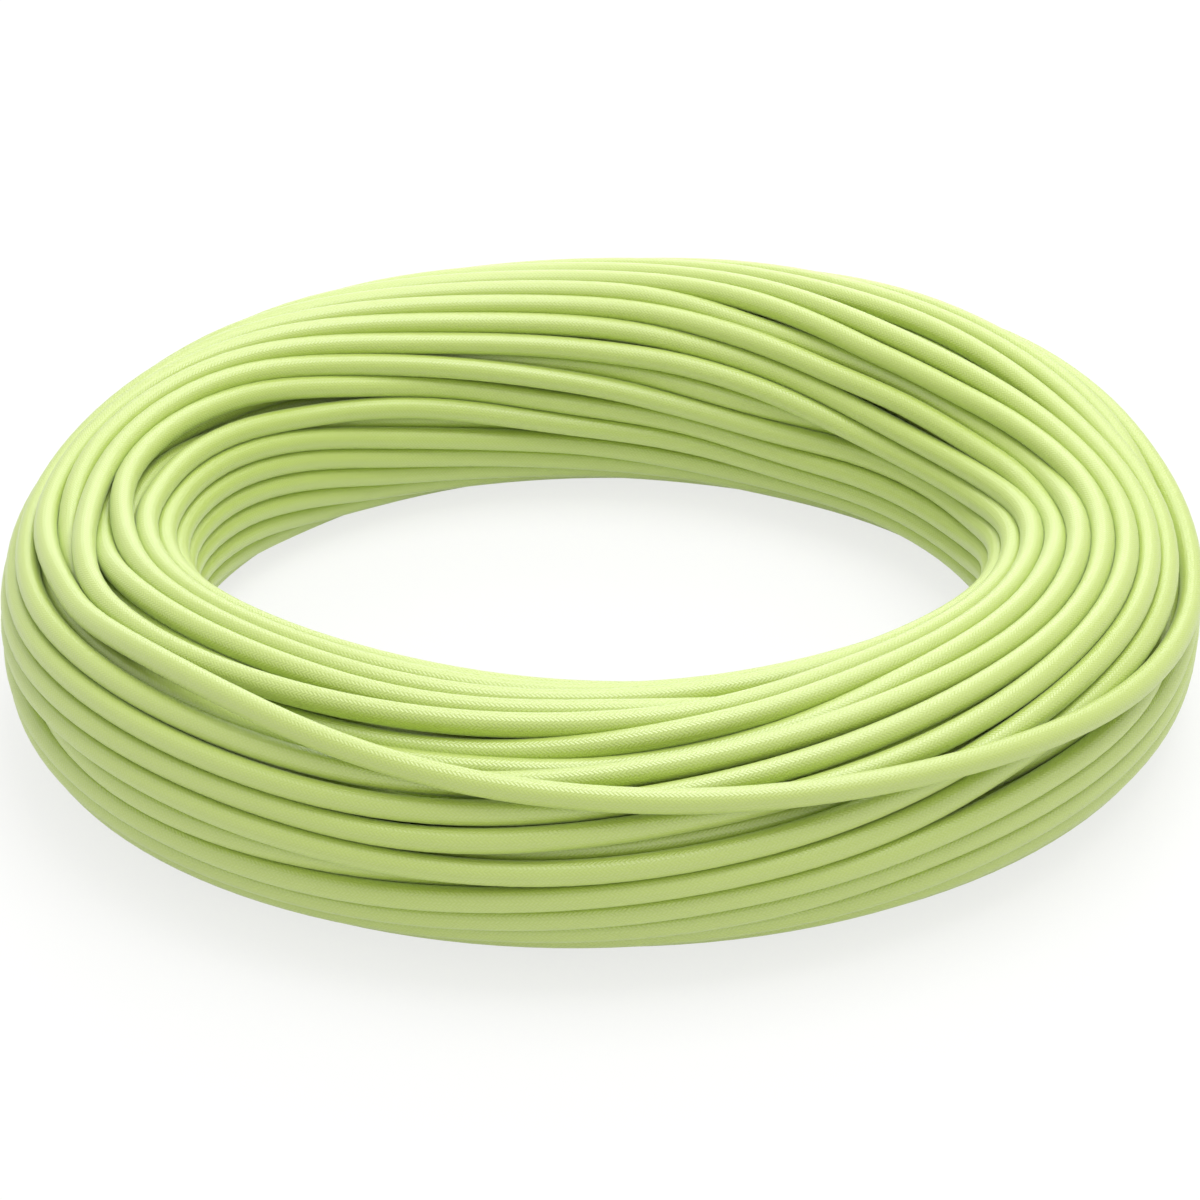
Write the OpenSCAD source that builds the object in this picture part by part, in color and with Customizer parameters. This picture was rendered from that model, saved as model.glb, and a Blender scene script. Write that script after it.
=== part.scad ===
// Dynamic climbing rope, wound in a round coil that lies flat on its side.
// Millimetres. The origin is the middle of the coil, on the surface it lies on.
// The coil is a core of buried turns and one unbroken outer layer of turns.
// The rope's own build, sheath over core strands, shows at its two ends.

/* [Rope] */
// Diameter over the sheath
rope_d = 9.2; // [8.5:0.1:10.5]
// Wall of the braided sheath
sheath_wall = 0.9; // [0.7:0.05:1.1]
// Clearance between core strands, and between them, the tape and the sheath
strand_gap = 0.06; // [0.03:0.01:0.1]
// Width of the flat marker tape inside the sheath
tape_w = 1.4; // [1:0.1:2]
// Thickness of the marker tape
tape_t = 0.1; // [0.06:0.01:0.12]

/* [Coil] */
// Outer diameter of the coil
coil_d = 460; // [420:5:520]
// Width of the bundle of turns, from the eye to the outside
bundle_w = 87; // [80:1:100]
// Height of the bundle of turns
bundle_h = 88; // [80:1:100]
// Rounding of the buried turns' upper edges
top_round = 27; // [20:1:28]
// Rounding of the buried turns' lower edges
foot_round = 15; // [13:1:15]
// Least space between neighbouring outer turns
turn_gap = 0.5; // [0.5:0.1:1]
// Space between the outer turns and the buried ones
skin_gap = 0.5; // [0.4:0.1:0.8]
// Space that the next turn leaves over a free end
tail_gap = 0.4; // [0.3:0.1:1]

/* [Ends] */
// Length of the straight stretch at each end
tip_l = 80; // [75:1:120]
// Length of the shrunk sleeve on each end
sleeve_l = 60; // [50:1:65]
// Wall of the shrunk sleeve
sleeve_wall = 0.35; // [0.2:0.05:0.5]
// Length of the blank label band under the sleeve
label_l = 42; // [30:1:45]
// Thickness of the label band
label_t = 0.15; // [0.1:0.05:0.2]
// Length of the fused tip that closes the rope
fused_l = 3; // [2:0.5:5]
// Rounding of the fused tip's rim
fused_round = 1; // [0.5:0.1:1.5]
// How far the fused tip stands out of the sleeve
fused_proud = 1.5; // [0.5:0.5:3]

/* [Hidden] */
// Core strands: three in the middle and nine around them
inner_strands = 3;
outer_strands = 9;
strand_count = inner_strands + outer_strands;

rope_green = [0.78, 0.88, 0.5];
strand_white = [0.95, 0.95, 0.92];
tape_orange = [0.95, 0.6, 0.25];
label_white = [0.93, 0.93, 0.9];
sleeve_grey = [0.8, 0.83, 0.8, 0.6];
fused_olive = [0.5, 0.58, 0.25];

// Where the free ends leave the coil: end a into the eye, end b behind the ring
end_a_angle = -50;
// Rings in one turn of the outer layer, and sides of its tube
turn_rings = 24;
turn_sides = 6;
// Ring steps from the place of end a on to that of end b
end_b_steps = 10;
// Share of a turn for which a free end can lie below its neighbour
tail_share = 1 / 6;
tail_sides = 8;
// Segments of round pieces and of the ring of buried turns
round_fn = 64;
ring_fn = 96;

// Free ends seen from above, after one straight diameter: how far along the
// coil's lowest turn, then how far away from it
end_a_route = [[34, 0], [59, 3], [83, 8], [108, 14], [134, 22], [162, 31]];
end_b_route = [[35, 1], [60, 1], [85, 1], [110, 2]];

rope_r = rope_d / 2;
core_r = rope_r - sheath_wall;
// The strands fill the core inside the tape: with half a gap added to each, a
// middle strand touches its two neighbours in the outer ring. This is where the
// triangle between their centres and the rope's middle closes.
pack_r = core_r - tape_t - 2 * strand_gap;
fill_sin = sin(180 / inner_strands);
fill_cos = cos(180 / outer_strands);
fill_square = pow(1 / fill_sin, 2) + 2 * fill_cos / fill_sin - 3;
fill_line = 1 + fill_cos / fill_sin;
fill_share = (fill_line - sqrt(pow(fill_line, 2) - fill_square)) / fill_square;
strand_r = (pack_r + strand_gap / 2) * fill_share - strand_gap / 2;
inner_ring_r = (strand_r + strand_gap / 2) / fill_sin;
outer_ring_r = pack_r - strand_r;
strand_places = concat(
    [for (k = [0:inner_strands - 1]) [inner_ring_r, k * 360 / inner_strands]],
    [for (k = [0:outer_strands - 1]) [outer_ring_r, (k + 0.5) * 360 / outer_strands]]);

label_r = rope_r + label_t;
sleeve_r = label_r + sleeve_wall;
// The rope lies on the floor in the coil, and its ends are raised by what they wear
tip_rise = sleeve_r - rope_r;

// Centre line of the outer layer across the bundle: up from the floor at the
// eye, over the top and down to the floor outside
rho_in = coil_d / 2 - bundle_w + rope_r;
rho_out = coil_d / 2 - rope_r;
rho_mid = (rho_in + rho_out) / 2;
layer_top = bundle_h - rope_r;
foot_arc_r = foot_round + skin_gap + rope_r;
top_arc_r = top_round + skin_gap + rope_r;
floor_angle = acos((foot_round - rope_r) / foot_arc_r);
foot_len = foot_arc_r * (90 - floor_angle) * PI / 180;
side_len = layer_top - top_arc_r - foot_round;
top_arc_len = top_arc_r * PI / 2;
layer_len = 2 * (foot_len + side_len + top_arc_len) + rho_out - rho_in - 2 * top_arc_r;

// The first and the last turn climb far enough for a free end to pass below
clear_z = foot_round < rope_r + tip_rise + sleeve_r + rope_r + tail_gap
    ? rope_r + tip_rise + sleeve_r + rope_r + tail_gap : foot_round;
end_climb = (foot_len + clear_z - foot_round) / (1 - tail_share);
end_part = end_b_steps / turn_rings;
turns = floor((layer_len - 2 * end_climb) / (rope_d + turn_gap) + 2 - end_part) + end_part;
steps = round(turns * turn_rings);
step_angle = 360 / turn_rings;
end_b_angle = end_a_angle + steps * step_angle;
turn_pitch = (layer_len - 2 * end_climb) / (turns - 2);
// Flat facets of a turn lie this far inside its circle
facet_sag = rho_out * (1 - cos(step_angle / 2));

// Place and outward direction across the bundle, at a length along the layer
function inner_half(s) =
    s < foot_len
        ? let (a = floor_angle + s / foot_arc_r * 180 / PI)
            [rho_in + foot_arc_r * (1 - sin(a)), foot_round - foot_arc_r * cos(a), -sin(a), -cos(a)]
    : s < foot_len + side_len
        ? [rho_in, foot_round + s - foot_len, -1, 0]
    : s < foot_len + side_len + top_arc_len
        ? let (a = (s - foot_len - side_len) / top_arc_r * 180 / PI)
            [rho_in + top_arc_r * (1 - cos(a)), layer_top + top_arc_r * (sin(a) - 1), -cos(a), sin(a)]
        : [rho_in + top_arc_r + s - foot_len - side_len - top_arc_len, layer_top, 0, 1];
function across(s) =
    s <= layer_len / 2 ? inner_half(s)
        : let (p = inner_half(layer_len - s)) [2 * rho_mid - p[0], p[1], -p[2], p[3]];
function climb(t) =
    t < 1 ? t * end_climb
    : t > turns - 1 ? layer_len - (turns - t) * end_climb
    : end_climb + (t - 1) * turn_pitch;
function around(p, angle) = [p[0] * cos(angle), p[0] * sin(angle), p[1]];

// Rings of the outer layer: the place in the bundle, the angle round the coil
// and a shift along the rope, for the straight stretch at each end
ring_spots = concat(
    [[across(0), end_a_angle, 0], [across(0), end_a_angle, rope_d]],
    [for (k = [1:steps - 1]) [across(climb(k / turn_rings)), end_a_angle + k * step_angle, 0]],
    [[across(layer_len), end_b_angle, -rope_d], [across(layer_len), end_b_angle, 0]]);
ring_centres = [for (r = ring_spots) around(r[0], r[1]) + r[2] * [-sin(r[1]), cos(r[1]), 0]];

function ring_corners(r) = [for (k = [0:turn_sides - 1])
    let (a = k * 360 / turn_sides, p = r[0])
        around([p[0] + rope_r * (p[2] * cos(a) - p[3] * sin(a)),
                p[1] + rope_r * (p[3] * cos(a) + p[2] * sin(a))], r[1])
            + r[2] * [-sin(r[1]), cos(r[1]), 0]];

// Least space between turns, between ring centres half a turn or more apart
function least_turn_gap() =
    min([for (i = [0:len(ring_centres) - 1], j = [i + turn_rings / 2:1:len(ring_centres) - 1])
        norm(ring_centres[i] - ring_centres[j])]) - rope_d;

// Triangles of a tube of rings with closed ends
function tube_faces(rings, sides) = concat(
    [for (i = [0:rings - 2], k = [0:sides - 1])
        let (a = i * sides + k, b = i * sides + (k + 1) % sides)
            each [[a, b, b + sides], [a, b + sides, a + sides]]],
    [for (k = [1:sides - 2]) [0, k + 1, k]],
    [for (k = [1:sides - 2]) let (a = (rings - 1) * sides) [a, a + k, a + k + 1]]);

// A free end's centre line in its own axes: +X as the rope leaves the coil, +Y
// to the coil's middle. It rises to what the end wears.
function bent(route, coil_r, away) = concat(
    [[0, 0], [rope_d, 0]],
    [for (p = route)
        let (a = p[0] / coil_r * 180 / PI, r = coil_r + away * p[1]) [r * sin(a), coil_r - r * cos(a)]]);
function raised(line) = [for (i = [0:len(line) - 1])
    [line[i][0], line[i][1], tip_rise * i / (len(line) - 1)]];
function heading(a, b) = atan2(b[1] - a[1], b[0] - a[0]);
function tip_heading(line) = heading(line[len(line) - 2], line[len(line) - 1]);
function ring_heading(line, i) =
    i == 0 ? 0
    : i == len(line) - 1 ? tip_heading(line)
    : (heading(line[i - 1], line[i]) + heading(line[i], line[i + 1])) / 2;
function tail_points(line) = [for (i = [0:len(line) - 1], k = [0:tail_sides - 1])
    let (h = ring_heading(line, i), a = k * 360 / tail_sides - 90)
        line[i] + rope_r * [-sin(h) * cos(a), cos(h) * cos(a), sin(a)]];
end_a_line = raised(bent(end_a_route, across(0)[0], -1));
end_b_line = raised(bent(end_b_route, across(layer_len)[0], 1));

// A free end's own axes, on the rope's centre line where it leaves the coil
module at_end(end) {
    if (end == "end_a")
        translate(around(across(0), end_a_angle))
            rotate([0, 0, end_a_angle - 90]) mirror([0, 1, 0]) children();
    else
        translate(around(across(layer_len), end_b_angle))
            rotate([0, 0, end_b_angle + 90]) children();
}

function line_of(end) = end == "end_a" ? end_a_line : end_b_line;

// The straight stretch's axes: +Z runs along the rope to its tip
module at_tip(end) {
    line = line_of(end);
    at_end(end)
        translate(line[len(line) - 1])
            rotate([0, 0, tip_heading(line)]) rotate([0, 90, 0]) children();
}

module ring_tube(r_out, r_in, length) {
    difference() {
        cylinder(r = r_out, h = length, $fn = round_fn);
        translate([0, 0, -1]) cylinder(r = r_in, h = length + 2, $fn = round_fn);
    }
}

// Buried turns: the ring that fills the bundle, with a flat foot on the floor
module inner_turns() {
    r_in = rho_in + rope_r + skin_gap;
    r_out = rho_out - rope_r - skin_gap - facet_sag;
    top = layer_top - rope_r - skin_gap;
    color(rope_green) rotate_extrude($fn = ring_fn) {
        for (x = [r_in + foot_round, r_out - foot_round])
            translate([x, foot_round]) circle(r = foot_round, $fn = round_fn);
        for (x = [r_in + top_round, r_out - top_round])
            translate([x, top - top_round]) circle(r = top_round, $fn = round_fn);
        translate([r_in, foot_round]) square([r_out - r_in, top - top_round - foot_round]);
        translate([r_in + top_round, foot_round])
            square([r_out - r_in - 2 * top_round, top - foot_round]);
        translate([r_in + foot_round, 0]) square([r_out - r_in - 2 * foot_round, top - top_round]);
    }
}

// Outer layer: one tube that spirals from the floor at the eye to the floor outside
module outer_turns() {
    echo(least_turn_gap = least_turn_gap(), turns = turns, turn_pitch = turn_pitch);
    color(rope_green) polyhedron(
        points = [for (r = ring_spots) each ring_corners(r)],
        faces = tube_faces(len(ring_spots), turn_sides));
}

// Free stretch from the coil to the straight end
module tail(end) {
    line = line_of(end);
    color(rope_green) at_end(end)
        polyhedron(points = tail_points(line), faces = tube_faces(len(line), tail_sides));
}

// Braided sheath round the straight end
module sheath(end) {
    color(rope_green) at_tip(end) ring_tube(rope_r, core_r, tip_l - fused_l);
}

// One of the twisted core strands
module core_strand(end, place) {
    color(strand_white) at_tip(end) rotate([0, 0, place[1]]) translate([place[0], 0, 0])
        cylinder(r = strand_r, h = tip_l - fused_l, $fn = round_fn);
}

// Flat tape between the core strands and the sheath
module marker_tape(end) {
    tape_r = core_r - strand_gap;
    color(tape_orange) at_tip(end) intersection() {
        ring_tube(tape_r, tape_r - tape_t, tip_l - fused_l);
        translate([0, -tape_w / 2, 0]) cube([rope_r, tape_w, tip_l - fused_l]);
    }
}

// Blank label wrapped round the sheath, under the sleeve
module label_band(end) {
    color(label_white) at_tip(end)
        translate([0, 0, tip_l - fused_proud - sleeve_l / 2 - label_l / 2])
            ring_tube(label_r, rope_r, label_l);
}

// Shrunk sleeve that covers the label and grips the rope beyond it
module sleeve(end) {
    color(sleeve_grey) at_tip(end) translate([0, 0, tip_l - fused_proud - sleeve_l]) difference() {
        cylinder(r = sleeve_r, h = sleeve_l, $fn = round_fn);
        translate([0, 0, -1]) cylinder(r = rope_r, h = sleeve_l + 2, $fn = round_fn);
        translate([0, 0, sleeve_l / 2 - label_l / 2]) cylinder(r = label_r, h = label_l, $fn = round_fn);
    }
}

// Melted tip that joins the sheath and the core strands
module fused_tip(end) {
    color(fused_olive) at_tip(end) translate([0, 0, tip_l - fused_l]) rotate_extrude($fn = round_fn) {
        square([rope_r, fused_l - fused_round]);
        square([rope_r - fused_round, fused_l]);
        intersection() {
            translate([rope_r - fused_round, fused_l - fused_round])
                circle(r = fused_round, $fn = round_fn);
            square([rope_r, fused_l]);
        }
    }
}

inner_turns();
outer_turns();
for (e = ["end_a", "end_b"]) {
    tail(e);
    sheath(e);
    marker_tape(e);
    for (k = [1:strand_count])
        core_strand(e, strand_places[k - 1]);
    label_band(e);
    sleeve(e);
    fused_tip(e);
}
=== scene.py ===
import math
import bpy
import numpy as np
from mathutils import Matrix, Vector


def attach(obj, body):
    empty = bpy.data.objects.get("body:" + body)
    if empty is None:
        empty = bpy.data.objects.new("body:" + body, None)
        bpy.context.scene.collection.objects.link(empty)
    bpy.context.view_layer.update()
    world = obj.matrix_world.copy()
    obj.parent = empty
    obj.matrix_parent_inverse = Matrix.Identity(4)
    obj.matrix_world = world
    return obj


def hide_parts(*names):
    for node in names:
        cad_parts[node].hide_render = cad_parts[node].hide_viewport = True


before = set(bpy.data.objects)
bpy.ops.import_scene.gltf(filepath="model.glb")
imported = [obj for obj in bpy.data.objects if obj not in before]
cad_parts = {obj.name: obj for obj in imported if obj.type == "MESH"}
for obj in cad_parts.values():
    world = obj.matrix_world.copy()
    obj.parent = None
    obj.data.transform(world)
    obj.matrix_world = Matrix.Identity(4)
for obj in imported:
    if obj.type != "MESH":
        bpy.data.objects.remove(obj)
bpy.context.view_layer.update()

# ---------------------------------------------------------------- Camera
# A long lens stands in front of the coil and looks down on it, turned a
# little about its own axis. It points a little below the place from which its
# distance is measured.
camera_distance = 1.61
camera_elevation = math.radians(27.9)
camera_roll = math.radians(-1.3)
camera_lens = 123.7
look_at = Vector((0.0, 0.0, 0.0437))
axis_drop = 0.0126

camera_data = bpy.data.cameras.new("studio_camera")
camera_data.sensor_width = 36.0
camera_data.lens = camera_lens
camera_data.clip_start = 0.05
camera_data.clip_end = 50.0
camera = bpy.data.objects.new("studio_camera", camera_data)
bpy.context.scene.collection.objects.link(camera)
out_from_coil = Vector((0.0, -math.cos(camera_elevation), math.sin(camera_elevation)))
camera.location = look_at + camera_distance * out_from_coil
axis_point = look_at - Vector((0.0, 0.0, axis_drop))
facing = (axis_point - camera.location).to_track_quat("-Z", "Y").to_matrix()
camera.rotation_euler = (facing @ Matrix.Rotation(camera_roll, 3, "Z")).to_euler()
bpy.context.scene.camera = camera

# ---------------------------------------------------------------- Rope
# One dynamic rope, 60 m of it, wound by hand in a round coil: a braided nylon
# sheath of one colour over a twisted core. Its two ends lie on the floor, one
# in the eye of the coil and one behind it.
rope_width = 0.0092
rope_radius = rope_width / 2

# The coil is laid in equal steps, with the same stations round it in each turn.
# It starts and ends on the floor, at these distances from the coil's middle.
stations = 72
start_angle = -50.0
coil_turns = 50 + 150 / 360
steps = round(coil_turns * stations)
first_place = (0.1505, rope_radius)
last_place = (0.2225, rope_radius)

# The free ends beyond the coil, after one straight diameter: how far along the
# coil's lowest turn, then how far away from it. Each ends in a straight tip.
end_a_route = ((0.034, 0), (0.059, 0.003), (0.083, 0.008),
               (0.108, 0.014), (0.134, 0.022), (0.162, 0.031))
end_b_route = ((0.035, 0.001), (0.060, 0.001), (0.085, 0.001), (0.110, 0.002))
tip_length = 0.077
tip_shares = (0.34, 0.67, 1.0)
tip_rise = 0.0005

# The bundle of turns, which wasn't wound evenly: how far its middle lies from
# the coil's, how wide it is and how high, each at the coil's right, back, left
# and front. The slant adds to it between right and back and between left and
# front, and takes as much from it in the other two quarters.
bundle_middle = (0.190, 0.180, 0.194, 0.180)
middle_slant = -0.002
bundle_width = (0.084, 0.086, 0.075, 0.107)
width_slant = 0.004
bundle_height = (0.086, 0.095, 0.088, 0.086)
height_slant = 0.002

# Half its height also rises by this much in all four quarters and falls by as
# much at the four sides, about a level that is a share of the rise.
quarter_rise = 0.001
rise_level = 0.3

# Its section is a rounded square, rounder where the power is near 2. Its foot
# is squarer at the sides than in front.
top_power = 2.3
foot_power = 2.2
foot_power_more_at_sides = 0.9

# How far the whole bundle is twisted at each angle round the coil, in degrees,
# and how many degrees to either side this is evened out.
twist_at = (-180, -160, -110, -85, -60, -30, -12, 0, 10, 20, 36, 60, 90, 115, 130, 144, 155, 169)
twist = (3, 0, 0, 14, 30, 42, 52, 66, 78, 86, 89, 87, 70, 63, 52, 34, 20, 9)
twist_evened = 12

# A turn's lane is its place round the bundle's section, in degrees, before the
# twist: 0 is outside, 90 on top and 180 inside. Turns lie apart at these lanes:
# where a gap starts and where it ends, the angles round the coil from and to,
# and its width.
gaps = (
    (80, 86, -165, -105, 0.0030),
    (70, 62, -165, -138, 0.0015),
    (59, 58, -122, -62, 0.0030),
    (55, 55, -150, -126, 0.0050),
    (40, 38, -85, -12, 0.0025),
    (21, 20, -146, -95, 0.0020),
    (4, 5, -108, -60, 0.0025),
    (-6, -11, -155, -104, 0.0015),
    (-8, -18, -103, -36, 0.0010),
    (-28, -43, -90, -50, 0.0010),
    (54, 53, -13, 60, 0.0020),
    (66, 71, 16, 100, 0.0030),
    (94, 96, 12, 56, 0.0010),
    (104, 108, 62, 130, 0.0025),
    (111, 112, 130, 186, 0.0060),
    (126, 130, 56, 104, 0.0035),
    (27, 31, 16, 54, 0.0020),
)

# A gap lies just outside the turns. It opens and closes over these angles before
# and after its ends, and angles are counted from a little before it.
gap_radius = 1.08
gap_clearance = 0.0006
gap_before, gap_after = 12, 14
gap_lead = 30

# Stretches of turns that have sunk between their neighbours: from and to, in
# turns, and how deep, as a share of the bundle. They sink over part of a turn.
sunken = ((24.68, 24.96, 0.18), (26.12, 26.34, 0.16), (48.65, 48.90, 0.22))
sinking_turn = 0.05


def round_the_coil(angle, sides, slant):
    """A size known at the coil's four sides, changing smoothly between them."""
    right, back, left, front = sides
    return ((right + back + left + front) / 4 + (right - left) / 2 * np.cos(angle)
            + (back - front) / 2 * np.sin(angle) + slant * np.sin(2 * angle)
            + (right + left - back - front) / 4 * np.cos(2 * angle))


def bundle_size(angle):
    """Middle, half width and half height that the turns' centre lines keep to."""
    mid = round_the_coil(angle, bundle_middle, middle_slant)
    half_width = round_the_coil(angle, bundle_width, width_slant) / 2 - rope_radius
    half_height = round_the_coil(angle, bundle_height, height_slant) / 2 - rope_radius
    half_height = half_height + quarter_rise * (rise_level - np.cos(4 * angle))
    return mid, half_width, half_height


def section_power(angle, up):
    """How square the section is, on its top half and on its foot."""
    foot = foot_power + foot_power_more_at_sides * np.cos(angle) ** 2
    return np.where(up < 0, foot, top_power)


def bundle_place(angle, lane_radius, lane_angle):
    """Radius and height of a lane, which is a place in a disc of radius 1."""
    mid, half_width, half_height = bundle_size(angle)
    across = np.cos(lane_angle)
    up = np.sin(lane_angle)
    power = 2 / section_power(angle, up)
    x = mid + lane_radius * half_width * np.sign(across) * np.abs(across) ** power
    z = (half_height + rope_radius
         + lane_radius * half_height * np.sign(up) * np.abs(up) ** power)
    return np.stack([x, z], axis=-1)


def smooth(value, start, end):
    """0 before the start and 1 after the end, with a smooth change between."""
    share = np.clip((value - start) / (end - start), 0, 1)
    return share * share * (3 - 2 * share)


def wander(count, reach, seed):
    """Smooth noise along the rope, about 1 in size."""
    edge = 4 * reach
    noise = np.random.default_rng(seed).standard_normal(count + 2 * edge)
    bell = np.exp(-0.5 * (np.arange(-edge, edge + 1) / reach) ** 2)
    return np.convolve(noise, bell / np.sqrt((bell ** 2).sum()), "valid")[:count]


turn = np.arange(steps + 1) / stations
angle = np.radians(start_angle) + 2 * np.pi * turn
round_coil = np.arange(-180, 180)
twist_here = np.interp(round_coil, twist_at, twist, period=360)
evened_over = range(-twist_evened, twist_evened + 1)
twist_here = sum(np.roll(twist_here, shift) for shift in evened_over) / len(evened_over)
twisted = np.interp(np.degrees(angle), round_coil, twist_here, period=360)

# Winding order, as lanes of the bundle: a turn dives to the middle, eight go
# round there, sixteen in a ring about them and the rest outside, closer where
# they are seen. The last turn crosses over the others from the top to the
# outside, goes a little lower and comes down to the floor behind the coil.
core_end, ring_end = 9, 24.93
cross_start = 49 + 265 / 360
cross_end = cross_start + 145 / 360
drop_start = 50 + 90 / 360

# How far the lane moves in one turn of the core and of the ring. Outside, lanes
# are given at some turns, counted back from the crossing.
core_step, ring_step = 42, 22.5
turns_back = (0, 8.74, 18.3, cross_start - ring_end)
outer_lanes = (62, 180, 320, 408.5)
lanes_crossed, lanes_lowered = 98, 17

# Where the winding changes smoothly, in turns from and to
leaves_start = (0.01, 0.16)
turns_inward = (0.12, 0.75)
dives_in = (0.6, 1.1)
goes_free = (0.6, 1.0)
core_to_ring = (core_end - 0.5, core_end + 0.5)
ring_to_outside = (ring_end - 0.6, ring_end - 0.15)
last_turn_held = (cross_start - 0.1, cross_start)
gets_on_top = (cross_start - 0.05, cross_start + 0.06)
off_the_top = (cross_end - 0.14, cross_end + 0.03)
leaves_bundle = (drop_start, drop_start + 0.08)
comes_down = (drop_start, coil_turns - 0.01)
lands = (coil_turns - 0.08, coil_turns - 0.005)

in_last_turn = turn > cross_start
last_lane = (outer_lanes[0] - lanes_crossed * smooth(turn, cross_start, cross_end)
             - lanes_lowered * smooth(turn, cross_end, drop_start))
lane = np.interp(cross_start - turn, turns_back, outer_lanes)
lane = np.where(turn < ring_end, outer_lanes[-1] + ring_step * (ring_end - turn), lane)

# The others close up by one lane below the turn that crosses them, and go back
# later in the turn.
closing_step = 13.5
closing_reach = 14
closing_from = (ring_end - 0.8, ring_end - 0.5)
opens_again = (0.52, 0.92)
since_crossing = (turn - cross_start) % 1
crossing = np.interp(since_crossing, turn[in_last_turn] - cross_start, last_lane[in_last_turn])
closing = smooth(lane - 360 - crossing, -closing_reach, closing_reach)
closing = closing * (1 - smooth(since_crossing, *opens_again))
lane += closing_step * closing * smooth(turn, *closing_from)

core_lane = outer_lanes[-1] + ring_step * (ring_end - core_end)
lane = np.where(turn < core_end, core_lane + core_step * (core_end - turn), lane)
lane = np.where(in_last_turn, last_lane, lane)

# How far out the turns lie, as a share of the bundle: in the core, then how
# much farther in the ring, outside and on top of the others. The last turn
# loses most of that height where it comes off the top.
core_out, ring_out, outer_out, top_out = 0.4, 0.35, 0.25, 0.2
height_lost = 0.8
on_top = smooth(turn, *gets_on_top)
on_top *= 1 - height_lost * smooth(turn, *off_the_top)
lane_radius = core_out + ring_out * smooth(turn, *core_to_ring)
lane_radius += outer_out * smooth(turn, *ring_to_outside) + top_out * on_top
sunk = np.zeros(steps + 1)
for sunk_from, sunk_to, depth in sunken:
    here = smooth(turn, sunk_from - sinking_turn, sunk_from + sinking_turn)
    here = here * (1 - smooth(turn, sunk_to - sinking_turn, sunk_to + sinking_turn))
    lane_radius -= depth * here
    sunk += here

# A hand lays no turn quite straight. In front, where the bundle is widest, more
# turns crowd towards one lane on its top.
wander_degrees, wander_steps, wander_seed = 3, 14, 7
front_crowding, crowded_lane = 0.17, 40
wandering = wander_degrees * wander(steps + 1, wander_steps, wander_seed)
lane_angle = np.radians(lane + wandering + twisted)
in_front = np.cos((angle + math.pi / 2) / 2) ** 4
crowding = front_crowding * in_front * (1 - smooth(turn, *last_turn_held))
lane_angle -= crowding * np.sin(lane_angle - math.radians(crowded_lane))
wish = bundle_place(angle, lane_radius, lane_angle)

# The first turn lies low inside, goes farther in and then dives to the core
first_lane, first_out, first_inward = -125.0, 0.97, 0.5
first_radius = first_out - first_inward * smooth(turn, *turns_inward)
first_turn = bundle_place(angle, first_radius, np.radians(first_lane))
dived = smooth(turn, *dives_in)[:, None]
wish = wish * dived + (1 - dived) * first_turn
into = smooth(turn, *leaves_start)[:, None]
wish = wish * into + (1 - into) * np.array(first_place)

# The last turn slides down the outside of the bundle and lands on the floor
drop_lanes, drop_out, drop_outward = 70, 1.04, 0.18
before_drop = turn <= drop_start
dropping = smooth(turn, *leaves_bundle)
drop_angle = (lane_angle[before_drop][-1]
              - math.radians(drop_lanes) * (turn - drop_start) / (coil_turns - drop_start))
down = bundle_place(angle, drop_out + drop_outward * dropping, drop_angle)
drop_height = wish[before_drop][-1, 1] - rope_radius
down[:, 1] = rope_radius + drop_height * (1 - smooth(turn, *comes_down))
wish = np.where(before_drop[:, None], wish, down)
landing = smooth(turn, *lands)[:, None]
wish = wish * (1 - landing) + landing * np.array(last_place)

# The first and the last turn are held to their places, and the sunken stretches
# more loosely.
sunken_hold = 0.3
held = np.maximum(1 - smooth(turn, *goes_free), smooth(turn, *last_turn_held))
held = np.maximum(held, sunken_hold * sunk)[:, None]

# Every step of the rope, by its station round the coil
rows = math.ceil((steps + 1) / stations)
at_station = np.arange(stations)[:, None] + stations * np.arange(rows)
there = at_station <= steps
at_station = np.minimum(at_station, steps)
pairs = there[:, :, None] & there[:, None, :] & ~np.eye(rows, dtype=bool)

# The bundle's skin keeps the turns in, except at both ends. The turn on top
# stands out of it by most of its width.
top_proud = 0.9
skin_from, skin_to = 0.2, coil_turns - 0.12
mid, half_width, half_height = bundle_size(angle)
floor_to_mid = half_height + rope_radius
proud = top_proud * rope_width * np.maximum(on_top, dropping)
half_width = half_width + proud
half_height = half_height + proud
bound = (turn > skin_from) & (turn < skin_to)

# Each gap, as a place at every station that pushes the turns away from it
station_degrees = (start_angle + 360 / stations * np.arange(stations) + 180) % 360 - 180
station_twist = np.interp(station_degrees, round_coil, twist_here, period=360)
gap_place = np.zeros((stations, len(gaps), 2))
gap_reach = np.zeros((stations, len(gaps)))
for number, (lane_from, lane_to, turned_from, turned_to, width) in enumerate(gaps):
    turned = (station_degrees - turned_from + gap_lead) % 360 - gap_lead
    turned_by = turned_to - turned_from
    share = np.clip(turned / turned_by, 0, 1)
    gap_lane = np.radians(lane_from + (lane_to - lane_from) * share + station_twist)
    gap_place[:, number] = bundle_place(np.radians(station_degrees), gap_radius, gap_lane)
    opened = smooth(turned, -gap_before, gap_after)
    opened = opened * (1 - smooth(turned, turned_by - gap_after, turned_by + gap_before))
    gap_reach[:, number] = opened * (rope_radius + width / 2 + gap_clearance)

# How the turns settle: in the first rounds each is still drawn to its wish, less
# and less, and the bundle swells. In the last rounds they only make room.
winding_rounds, settling_rounds = 600, 150
winding_stiffness, settling_stiffness = 0.05, 0.03
fading_pull, lasting_pull = 0.03, 0.002
winding_swell, swell_middle = 0.00015, 0.004
holding_pull, push, push_back = 0.12, 0.45, 0.7
least_distance = 1e-9


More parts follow.
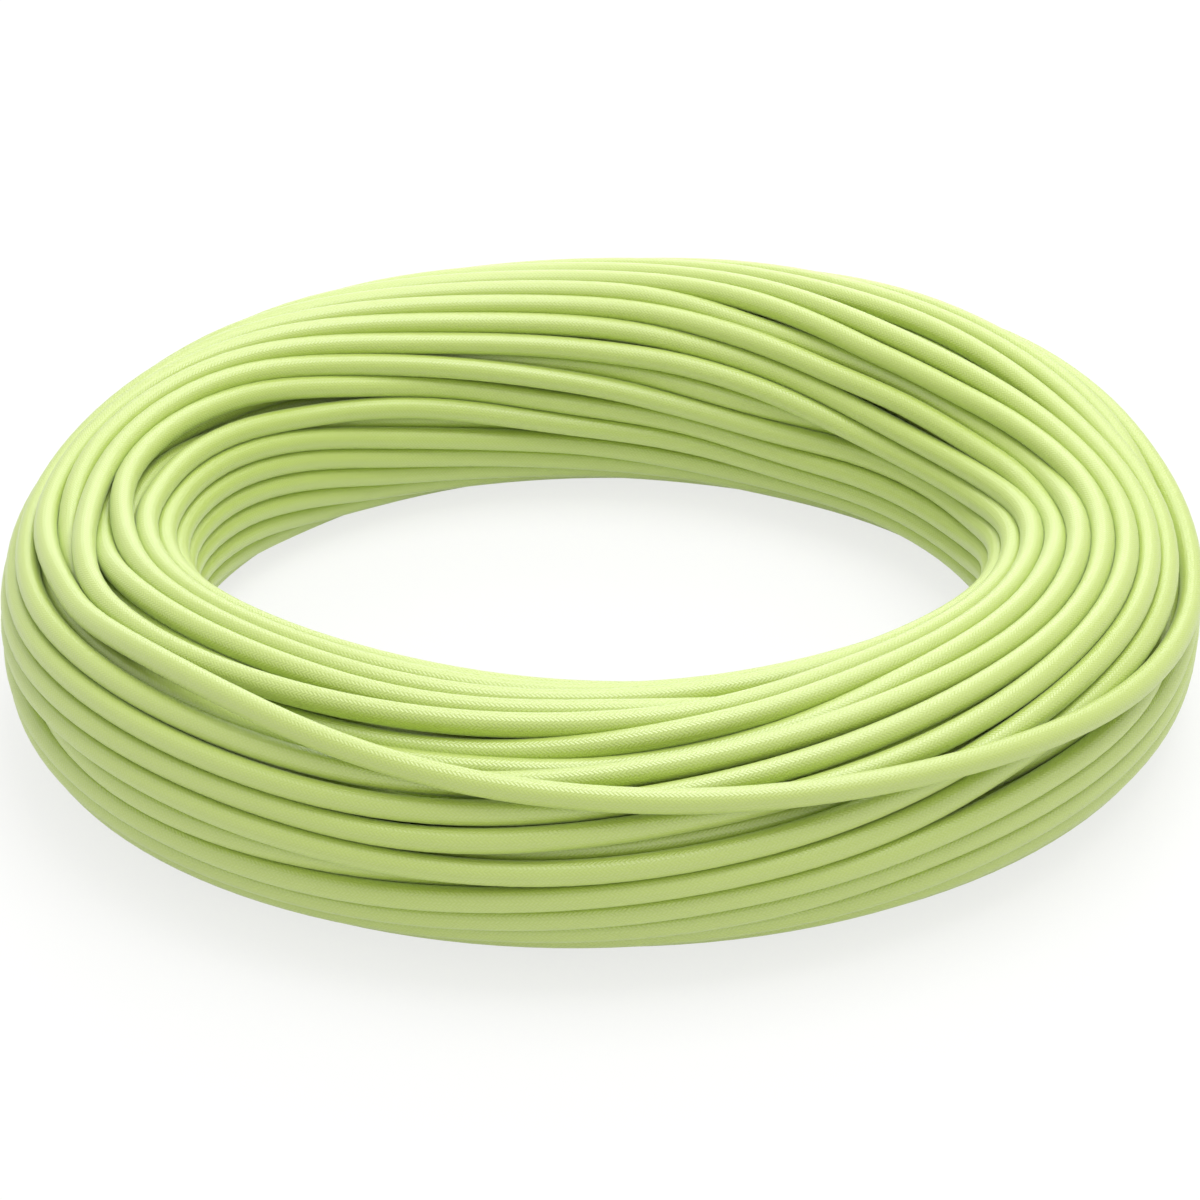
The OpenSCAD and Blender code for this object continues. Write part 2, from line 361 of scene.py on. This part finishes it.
def push_apart(place, others, reach, counts):
    """How far each place moves so that it is its reach away from the others."""
    between = place[:, :, None] - others[:, None]
    distance = np.sqrt((between ** 2).sum(-1)) + least_distance
    missing = np.maximum(0, reach - distance) * counts
    return push * ((missing / distance)[..., None] * between).sum(2)


def relax(place, stiffness, pull, swell):
    """One round: the rope straightens, and its turns push each other apart."""
    bend = place[2:] - 2 * place[1:-1] + place[:-2]
    place[2:-2] -= stiffness * (bend[2:] - 2 * bend[1:-1] + bend[:-2])
    place += np.maximum(pull, holding_pull * held) * (wish - place)
    outward = place - np.stack([mid, floor_to_mid], axis=-1)
    outward_length = np.linalg.norm(outward, axis=1)[:, None]
    place += (1 - held) * swell * outward / (outward_length + swell_middle)
    here = place[at_station]
    in_gaps = (there * (1 - held[at_station, 0]))[:, :, None]
    move = push_apart(here, here, rope_width, pairs)
    move += push_apart(here, gap_place, gap_reach[:, None], in_gaps)
    place[at_station[there]] += move[there]
    x = (place[:, 0] - mid) / half_width
    z = (place[:, 1] - floor_to_mid) / half_height
    power = section_power(angle, z)
    reach = (np.abs(x) ** power + np.abs(z) ** power) ** (1 / power)
    inward = np.where(bound & (reach > 1), push_back * (1 / np.maximum(reach, 1) - 1), 0)
    place[:, 0] += inward * (place[:, 0] - mid)
    place[:, 1] += inward * (place[:, 1] - floor_to_mid)
    place[:, 1] = np.maximum(place[:, 1], rope_radius)
    place[:2] = first_place
    place[-2:] = last_place


place = wish.copy()
for count in range(winding_rounds):
    pull = fading_pull * (1 - count / winding_rounds) + lasting_pull
    relax(place, winding_stiffness, pull, winding_swell)
for count in range(settling_rounds):
    relax(place, settling_stiffness, 0, 0)


def free_end(route, coil_radius, away):
    """A free end seen from above: along the rope, then towards the coil's middle."""
    points = [(0.0, 0.0), (rope_width, 0.0)]
    for along, apart in route:
        turned_on = along / coil_radius
        radius = coil_radius + away * apart
        points.append((radius * math.sin(turned_on), coil_radius - radius * math.cos(turned_on)))
    points = np.array(points)
    rise = tip_rise * np.arange(len(points)) / (len(points) - 1)
    ahead = (points[-1] - points[-2]) / np.linalg.norm(points[-1] - points[-2])
    tip = [points[-1] + ahead * tip_length * share for share in tip_shares]
    points = np.vstack([points[1:], tip])
    return np.column_stack([points, np.append(rise[1:], [tip_rise] * len(tip))])


def placed(points, coil_radius, turned, side):
    """Takes a free end from its own axes to its place beside the coil."""
    outward = np.array([math.cos(turned), math.sin(turned), 0])
    onward = side * np.array([-math.sin(turned), math.cos(turned), 0])
    start = coil_radius * outward + [0, 0, rope_radius]
    return start + points[:, :1] * onward - points[:, 1:2] * outward + points[:, 2:] * [0, 0, 1]


coil_line = np.column_stack([place[:, 0] * np.cos(angle), place[:, 0] * np.sin(angle), place[:, 1]])
end_a = placed(free_end(end_a_route, first_place[0], -1), first_place[0], angle[0], -1)
end_b = placed(free_end(end_b_route, last_place[0], 1), last_place[0], angle[-1], 1)
knots = np.vstack([end_a[::-1], coil_line, end_b])


def through(knots, parts, spacing):
    """A smooth line through the knots, as evenly spaced points."""
    ends = np.vstack([2 * knots[0] - knots[1], knots, 2 * knots[-1] - knots[-2]])
    fine = []
    for share in np.arange(parts) / parts:
        a, b, c, d = ends[:-3], ends[1:-2], ends[2:-1], ends[3:]
        fine.append(0.5 * (2 * b + (c - a) * share + (2 * a - 5 * b + 4 * c - d) * share ** 2
                           + (3 * b - a - 3 * c + d) * share ** 3))
    line = np.vstack([np.stack(fine, axis=1).reshape(-1, 3), knots[-1:]])
    run = np.append(0, np.cumsum(np.linalg.norm(np.diff(line, axis=0), axis=1)))
    even = np.linspace(0, run[-1], round(run[-1] / spacing) + 1)
    return np.column_stack([np.interp(even, run, line[:, k]) for k in range(3)]), even


parts_between_knots = 8
ring_spacing = 0.0099
rope_sides = 16
rope_line, rope_run = through(knots, parts_between_knots, ring_spacing)
rope_line[:, 2] = np.maximum(rope_line[:, 2], rope_radius)
ahead = np.gradient(rope_line, axis=0)
ahead /= np.linalg.norm(ahead, axis=1)[:, None]
sideways = np.cross(ahead, [0, 0, 1])
sideways /= np.linalg.norm(sideways, axis=1)[:, None]
upward = np.cross(sideways, ahead)
corner = 2 * np.pi * np.arange(rope_sides) / rope_sides
rings = (rope_line[:, None] + rope_radius * (np.cos(corner)[:, None] * sideways[:, None]
                                             + np.sin(corner)[:, None] * upward[:, None]))
count = len(rope_line)
ring_start = rope_sides * np.arange(count - 1)[:, None]
side = np.arange(rope_sides)
next_side = (side + 1) % rope_sides
quads = np.stack([ring_start + side, ring_start + next_side,
                  ring_start + next_side + rope_sides, ring_start + side + rope_sides], axis=-1)
faces = quads.reshape(-1, 4).tolist()
faces.append(list(range(rope_sides))[::-1])
faces.append(list(range((count - 1) * rope_sides, count * rope_sides)))
rope_mesh = bpy.data.meshes.new("rope")
rope_mesh.from_pydata(rings.reshape(-1, 3).tolist(), [], faces)
rope_mesh.polygons.foreach_set("use_smooth", [True] * len(faces))

# The rope's own coordinates: once round it, and along it in the same measure
uv = rope_mesh.uv_layers.new(name="rope_uv")
around = np.stack([side, side + 1, side + 1, side], axis=-1) / rope_sides
along = np.stack([rope_run[:-1], rope_run[:-1], rope_run[1:], rope_run[1:]], axis=-1)
uv_places = np.empty((count - 1, rope_sides, 4, 2))
uv_places[..., 0] = around[None]
uv_places[..., 1] = along[:, None] / (2 * math.pi * rope_radius)
caps = np.zeros((2 * rope_sides, 2))
uv.data.foreach_set("uv", np.vstack([uv_places.reshape(-1, 2), caps]).ravel())
rope_mesh.update()
rope = bpy.data.objects.new("rope", rope_mesh)
bpy.context.scene.collection.objects.link(rope)

# ---------------------------------------------------------------- Sheath finish
# The sheath is a fine braid: carriers of plied nylon run both ways round it and
# pass over two and under two of the others. All are dyed the same pale lime
# green. To the eye it is satin, paler where it is seen at a flat angle.
carriers = 24
braid_slope = 0.72
yarns_in_carrier = 3
yarn_height = 0.04

# A carrier is on top at two crossings of four, which are numbered from 0. Whole
# repeats are added, so that no number is negative.
weave_repeat = 4
on_top_below = 1.5
repeats_added = 10


def new_material(name):
    """A material, its node tree and its Principled shader."""
    material = bpy.data.materials.new(name)
    material.use_nodes = True
    return material, material.node_tree, material.node_tree.nodes["Principled BSDF"]


def worked_out(tree, operation, *values):
    """A math node on numbers and sockets, and its result."""
    node = tree.nodes.new("ShaderNodeMath")
    node.operation = operation
    for socket, value in zip(node.inputs, values):
        if isinstance(value, (int, float)):
            socket.default_value = value
        else:
            tree.links.new(value, socket)
    return node.outputs[0]


def pattern(tree, kind, **values):
    """A texture in the piece's own coordinates, with its scale, detail and so on."""
    whereabouts = tree.nodes.new("ShaderNodeTexCoord")
    texture = tree.nodes.new(kind)
    for name, value in values.items():
        texture.inputs[name.capitalize()].default_value = value
    tree.links.new(whereabouts.outputs["Object"], texture.inputs["Vector"])
    return texture


def coloured(tree, shader, amount, dark, pale, start=0.0, end=1.0):
    """The base colour, from dark to pale as the amount goes from start to end."""
    colour = tree.nodes.new("ShaderNodeValToRGB")
    for stop, position, tone in zip(colour.color_ramp.elements, (start, end), (dark, pale)):
        stop.position = position
        stop.color = (*tone, 1)
    tree.links.new(amount, colour.inputs["Fac"])
    tree.links.new(colour.outputs["Color"], shader.inputs["Base Color"])


def bumped(tree, shader, height, strength, distance):
    """A surface too fine to be built, as a bump of this height."""
    bump = tree.nodes.new("ShaderNodeBump")
    bump.inputs["Strength"].default_value = strength
    bump.inputs["Distance"].default_value = distance
    tree.links.new(height, bump.inputs["Height"])
    tree.links.new(bump.outputs["Normal"], shader.inputs["Normal"])


sheath, tree, shader = new_material("lime_sheath")
rope_place = tree.nodes.new("ShaderNodeUVMap")
rope_place.uv_map = "rope_uv"
apart = tree.nodes.new("ShaderNodeSeparateXYZ")
tree.links.new(rope_place.outputs["UV"], apart.inputs["Vector"])
around_rope = worked_out(tree, "MULTIPLY", apart.outputs["X"], carriers)
along_rope = worked_out(tree, "MULTIPLY", apart.outputs["Y"], carriers * braid_slope)
left = worked_out(tree, "SUBTRACT", around_rope, along_rope)
right = worked_out(tree, "ADD", around_rope, along_rope)
left_share = worked_out(tree, "FRACT", left)
right_share = worked_out(tree, "FRACT", right)

# Which carrier is on top where two cross, how far across it a place lies, and
# how far along the stretch for which it stays on top.
left_number = worked_out(tree, "FLOOR", left)
right_number = worked_out(tree, "FLOOR", right)
crossing_number = worked_out(tree, "ADD", left_number, right_number)
crossing_number = worked_out(tree, "ADD", crossing_number, repeats_added * weave_repeat)
crossing_number = worked_out(tree, "MODULO", crossing_number, weave_repeat)
left_on_top = worked_out(tree, "LESS_THAN", crossing_number, on_top_below)
right_on_top = worked_out(tree, "SUBTRACT", 1, left_on_top)
across_left = worked_out(tree, "MULTIPLY", left_share, left_on_top)
across_carrier = worked_out(tree, "MULTIPLY_ADD", right_share, right_on_top, across_left)
half_passed = worked_out(tree, "MODULO", crossing_number, 2)
other_left = worked_out(tree, "MULTIPLY", right_share, left_on_top)
other_share = worked_out(tree, "MULTIPLY_ADD", left_share, right_on_top, other_left)
passed = worked_out(tree, "MULTIPLY", worked_out(tree, "ADD", half_passed, other_share), 0.5)

# Its rounded back, lower at both ends of that stretch, and the yarns in it
carrier_bulge = worked_out(tree, "SINE", worked_out(tree, "MULTIPLY", across_carrier, math.pi))
stitch_bulge = worked_out(tree, "SINE", worked_out(tree, "MULTIPLY", passed, math.pi))
stitch_rise = worked_out(tree, "MULTIPLY_ADD", stitch_bulge, 0.5, 0.5)
yarn_turns = 2 * yarns_in_carrier * math.pi
yarns = worked_out(tree, "SINE", worked_out(tree, "MULTIPLY", across_carrier, yarn_turns))
braid_height = worked_out(tree, "MULTIPLY", carrier_bulge, stitch_rise)
braid_height = worked_out(tree, "MULTIPLY_ADD", yarns, yarn_height, braid_height)
bumped(tree, shader, braid_height, strength=0.35, distance=0.0003)

# The colour is darker between the carriers and paler on their backs, a painted
# shade that follows the braid's height, and the dye is a little uneven
dye_unevenness, dye_offset, painted_shade_by_height = 0.5, -0.1, 0.65
dye = pattern(tree, "ShaderNodeTexNoise", scale=9, detail=3)
dye_and_painted_shade = worked_out(tree, "MULTIPLY_ADD", dye.outputs["Fac"], dye_unevenness, dye_offset)
dye_and_painted_shade = worked_out(tree, "MULTIPLY_ADD", braid_height, painted_shade_by_height, dye_and_painted_shade)
coloured(tree, shader, dye_and_painted_shade, dark=(0.42, 0.56, 0.02), pale=(0.48, 0.60, 0.10),
         start=0.1, end=0.75)
shader.inputs["Roughness"].default_value = 0.45
shader.inputs["Specular IOR Level"].default_value = 1.0
shader.inputs["IOR"].default_value = 1.8
shader.inputs["Sheen Weight"].default_value = 0.3
shader.inputs["Sheen Roughness"].default_value = 0.5
shader.inputs["Sheen Tint"].default_value = (0.95, 1.0, 0.95, 1)
rope_mesh.materials.append(sheath)
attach(rope, "root")
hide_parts("inner_turns", "outer_turns", "end_a_tail", "end_b_tail", "end_a_sheath", "end_b_sheath")

# ---------------------------------------------------------------- Sleeves
# Clear heat-shrink film drawn over the label at each end. It is glossy and a
# little milky, with faint ripples.


def finish_at_both_ends(name, material):
    """Gives the material to the piece of this name at each end of the rope."""
    for end in ("end_a", "end_b"):
        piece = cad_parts[f"{end}_{name}"]
        piece.data.materials.clear()
        piece.data.materials.append(material)


film, tree, shader = new_material("clear_film")
ripples = pattern(tree, "ShaderNodeTexNoise", scale=160, detail=2)
bumped(tree, shader, ripples.outputs["Fac"], strength=0.12, distance=0.0004)
haze = tree.nodes.new("ShaderNodeMapRange")
haze.inputs["To Min"].default_value = 0.08
haze.inputs["To Max"].default_value = 0.24
tree.links.new(ripples.outputs["Fac"], haze.inputs["Value"])
tree.links.new(haze.outputs["Result"], shader.inputs["Roughness"])
shader.inputs["Base Color"].default_value = (0.95, 0.97, 0.95, 1)
shader.inputs["Alpha"].default_value = 0.17
shader.inputs["IOR"].default_value = 1.46
finish_at_both_ends("sleeve", film)

# ---------------------------------------------------------------- Label bands
# A strip of matt white film round each end, left blank. It has the fine grain
# of printed film and is slightly yellowed in places.
label_film, tree, shader = new_material("blank_label")
grain = pattern(tree, "ShaderNodeTexNoise", scale=420, detail=4)
coloured(tree, shader, grain.outputs["Fac"], dark=(0.78, 0.78, 0.73), pale=(0.86, 0.86, 0.83),
         start=0.3, end=0.7)
shader.inputs["Roughness"].default_value = 0.6
finish_at_both_ends("label_band", label_film)

# ---------------------------------------------------------------- Fused tips
# The cut ends are melted with a hot knife: hard, darker than the sheath and
# uneven, with small bubbles, browner where the blade was hottest.
melt, tree, shader = new_material("fused_nylon")
scorch = pattern(tree, "ShaderNodeTexNoise", scale=260, detail=5)
coloured(tree, shader, scorch.outputs["Fac"], dark=(0.10, 0.09, 0.03), pale=(0.27, 0.32, 0.08),
         start=0.35, end=0.7)
bubbles = pattern(tree, "ShaderNodeTexVoronoi", scale=700)
bumped(tree, shader, bubbles.outputs["Distance"], strength=0.5, distance=0.0003)
shader.inputs["Roughness"].default_value = 0.35
finish_at_both_ends("fused_tip", melt)

# ---------------------------------------------------------------- Core strands
# Twisted bundles of undyed nylon yarn, off white and silky. Their twist shows
# as fine slanting lines, in relief and as painted shade, darker in the grooves.
strands_in_core = 12
yarn, tree, shader = new_material("core_yarn")
twist_relief_and_shade = pattern(tree, "ShaderNodeTexWave", scale=500, distortion=1.5)
twist_relief_and_shade.bands_direction = "DIAGONAL"
coloured(tree, shader, twist_relief_and_shade.outputs["Fac"], dark=(0.70, 0.70, 0.66), pale=(0.86, 0.86, 0.83))
bumped(tree, shader, twist_relief_and_shade.outputs["Fac"], strength=0.4, distance=0.0001)
shader.inputs["Roughness"].default_value = 0.5
shader.inputs["Sheen Weight"].default_value = 0.3
for number in range(1, strands_in_core + 1):
    finish_at_both_ends(f"core_strand_{number}", yarn)

# ---------------------------------------------------------------- Marker tape
# A thin orange plastic tape that runs through the core and tells the year in
# which the rope was made. It is matt. Its slight crinkle is only painted light
# and shade, lighter and darker orange.
tape, tree, shader = new_material("marker_film")
crinkle_light_and_shade = pattern(tree, "ShaderNodeTexNoise", scale=300)
coloured(tree, shader, crinkle_light_and_shade.outputs["Fac"], dark=(0.62, 0.20, 0.03), pale=(0.84, 0.33, 0.06))
shader.inputs["Roughness"].default_value = 0.55
finish_at_both_ends("marker_tape", tape)

# ---------------------------------------------------------------- Studio
# A pale sheet below, a wide lamp above, a little to the right, and a wider and
# weaker one behind the coil. The air round it is white. Both are drawn whiter
# than the light makes them, the sheet only in part, so that it keeps a shadow.
sheet_whitened = 0.75
air_strength = 0.68
bpy.ops.object.select_all(action="DESELECT")
bpy.ops.mesh.primitive_plane_add(size=8.0, location=(0, 0, 0))
floor = bpy.context.object
floor.name = "studio_floor"
floor_paint, tree, shader = new_material("floor_paint")
shader.inputs["Base Color"].default_value = (0.9, 0.9, 0.9, 1)
shader.inputs["Roughness"].default_value = 0.8


def background_rays(tree):
    """1 where the background is seen, straight on, mirrored or through glass."""
    seen = tree.nodes.new("ShaderNodeLightPath")
    mirrored, through_glass = seen.outputs["Is Glossy Ray"], seen.outputs["Is Transmission Ray"]
    not_straight = worked_out(tree, "MAXIMUM", mirrored, through_glass)
    return worked_out(tree, "MAXIMUM", seen.outputs["Is Camera Ray"], not_straight)


bright = tree.nodes.new("ShaderNodeEmission")
lifted_white = tree.nodes.new("ShaderNodeMixShader")
lifted = worked_out(tree, "MULTIPLY", background_rays(tree), sheet_whitened)
tree.links.new(lifted, lifted_white.inputs["Fac"])
tree.links.new(shader.outputs["BSDF"], lifted_white.inputs[1])
tree.links.new(bright.outputs["Emission"], lifted_white.inputs[2])
tree.links.new(lifted_white.outputs["Shader"], tree.nodes["Material Output"].inputs["Surface"])
floor.data.materials.append(floor_paint)

world = bpy.data.worlds.new("studio_air")
bpy.context.scene.world = world
world.use_nodes = True
tree = world.node_tree
air = tree.nodes["Background"]
air.inputs["Color"].default_value = (1, 1, 1, 1)
air.inputs["Strength"].default_value = air_strength
backdrop = tree.nodes.new("ShaderNodeBackground")
backdrop.inputs["Color"].default_value = (1, 1, 1, 1)
either = tree.nodes.new("ShaderNodeMixShader")
tree.links.new(background_rays(tree), either.inputs["Fac"])
tree.links.new(air.outputs["Background"], either.inputs[1])
tree.links.new(backdrop.outputs["Background"], either.inputs[2])
tree.links.new(either.outputs["Shader"], tree.nodes["World Output"].inputs["Surface"])

# Each lamp's power in watts, the side of its square and its place. Both are
# turned to the middle of the coil.
lamps = (("key_light", 18, 1.2, Vector((0.35, 0.05, 1.7))),
         ("back_light", 14, 1.6, Vector((0.1, 1.8, 0.95))))
for name, power, side_length, lamp_place in lamps:
    lamp = bpy.data.lights.new(name, "AREA")
    lamp.energy = power
    lamp.size = side_length
    lamp_object = bpy.data.objects.new(name, lamp)
    bpy.context.scene.collection.objects.link(lamp_object)
    lamp_object.location = lamp_place
    lamp_object.rotation_euler = (-lamp_place).to_track_quat("-Z", "Y").to_euler()
bpy.context.scene.view_settings.view_transform = "Standard"
